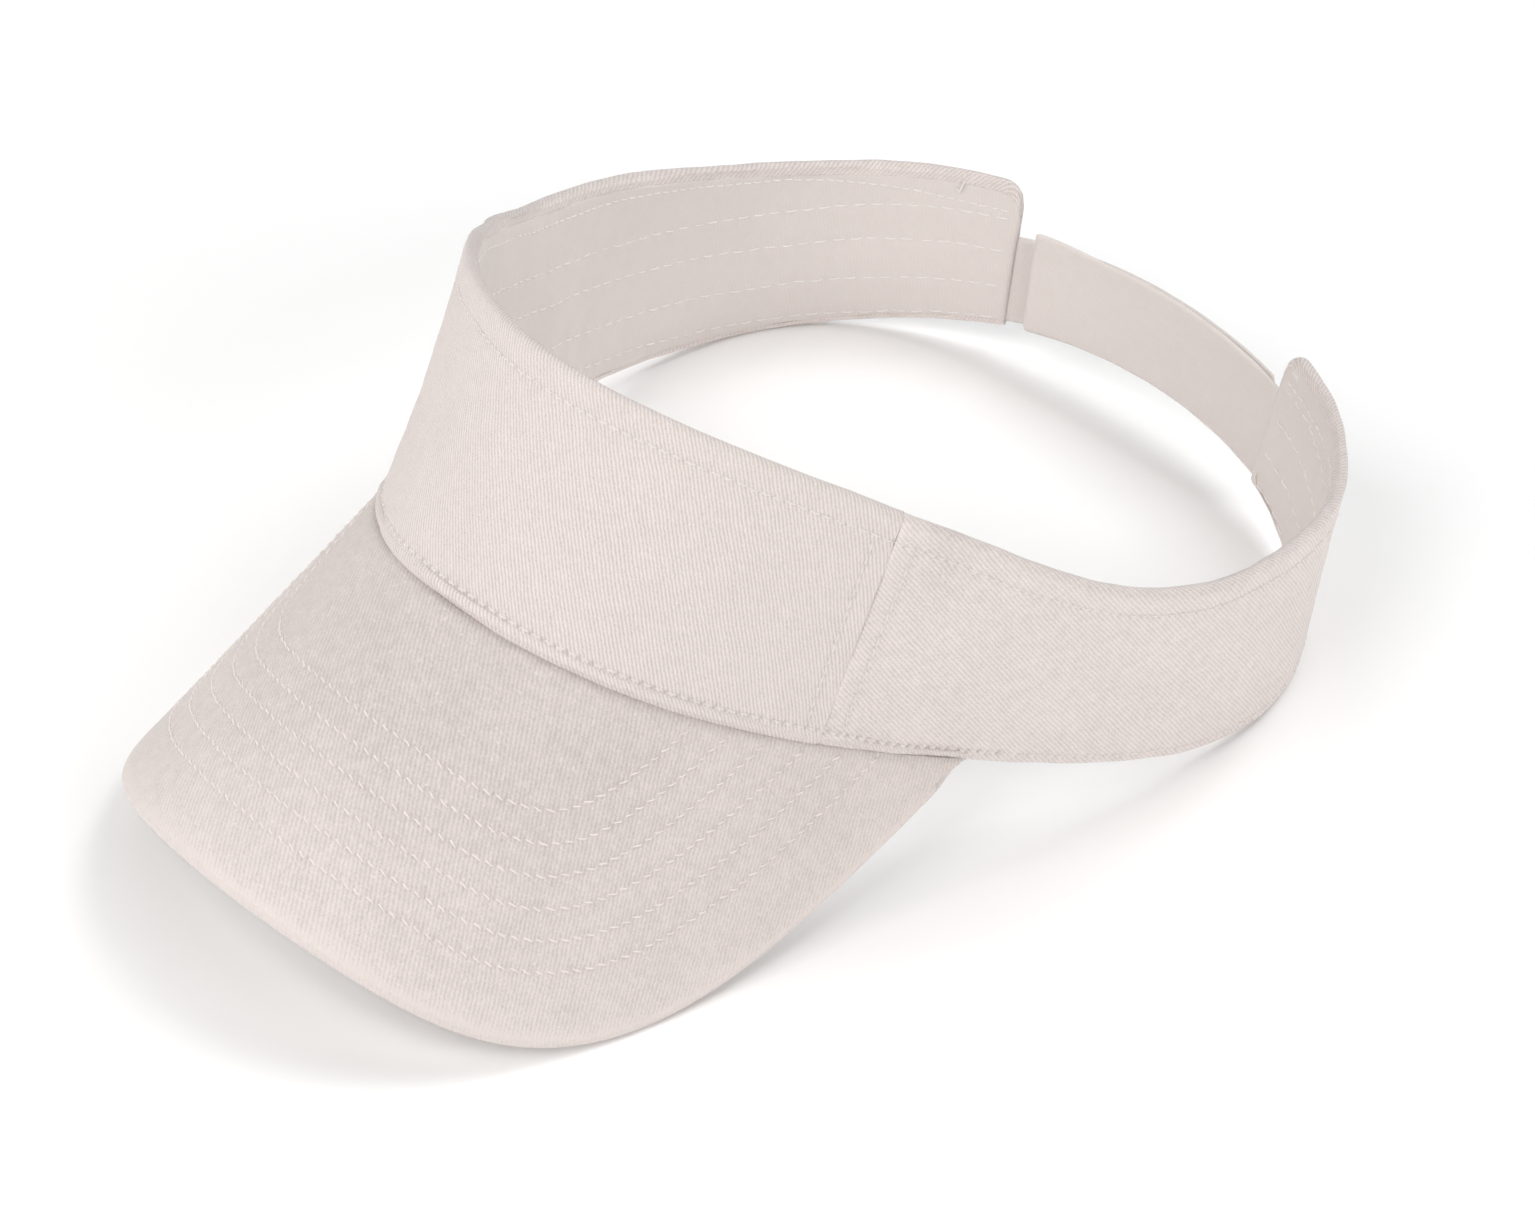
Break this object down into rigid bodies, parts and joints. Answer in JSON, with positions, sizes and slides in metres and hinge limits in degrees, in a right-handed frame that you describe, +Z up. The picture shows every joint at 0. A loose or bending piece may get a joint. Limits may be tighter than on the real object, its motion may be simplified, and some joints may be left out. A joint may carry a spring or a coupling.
{
  "type": "sun visor",
  "caption": "Open-topped fabric sun visor with a tall stiffened front, a pre-curved stitched bill, a lined head band and a hook-and-loop strap closure at the back.",
  "frame": {"origin": "bottom centre of the visor's box, on the surface it rests on", "axes": "-Y forward along the bill, +X to the wearer's left, +Z up"},
  "size_m": [0.1662, 0.2604, 0.1011],
  "materials": {
    "front_twill": "brushed cotton twill, matt",
    "side_twill": "brushed cotton twill, matt",
    "bill_twill": "brushed cotton twill, matt",
    "lining_twill": "plain cotton twill, matt",
    "interlining": "stiffened open weave, matt",
    "board_plastic": "satin polyethylene sheet",
    "thread": "spun polyester sewing thread",
    "strap_twill": "cotton twill, doubled and matt",
    "hook_nylon": "hook fastening tape",
    "loop_nylon": "brushed loop fastening tape"
  },
  "bodies": {
    "band": {"front_panel": "front_twill", "bill_seam_welt": "front_twill", "left_side_panel": "side_twill", "right_side_panel": "side_twill", "bill_top_cover": "bill_twill", "bill_under_cover": "bill_twill", "bill_edge_roll": "bill_twill", "sweatband": "lining_twill", "front_buckram": "interlining", "left_side_interlining": "interlining", "right_side_interlining": "interlining", "bill_board": "board_plastic", "rim_topstitch": "thread", "bill_seam_topstitch": "thread", "left_bottom_topstitch": "thread", "right_bottom_topstitch": "thread", "left_seam_topstitch_front": "thread", "left_seam_topstitch_side": "thread", "right_seam_topstitch_front": "thread", "right_seam_topstitch_side": "thread", "bill_stitch_row_1": "thread", "bill_stitch_row_2": "thread", "bill_stitch_row_3": "thread", "bill_stitch_row_4": "thread", "bill_stitch_row_5": "thread", "bill_stitch_row_6": "thread", "sweatband_stitch_row_1": "thread", "sweatband_stitch_row_2": "thread", "sweatband_stitch_row_3": "thread", "sweatband_stitch_row_4": "thread"},
    "inner_strap": {"inner_strap": "strap_twill", "hook_tape": "hook_nylon"},
    "outer_strap": {"outer_strap": "strap_twill", "loop_tape": "loop_nylon"}
  },
  "joints": [
    {"name": "inner_strap_peel", "type": "hinge", "parent": "band", "child": "inner_strap", "pos_m": [0.03349, 0.12271, 0.00768], "axis": [0.0529, 0.056, 0.997], "range_deg": [0, 95]},
    {"name": "outer_strap_peel", "type": "hinge", "parent": "band", "child": "outer_strap", "pos_m": [-0.03349, 0.12271, 0.00768], "axis": [-0.0529, 0.056, 0.997], "range_deg": [0, 105]}
  ]
}
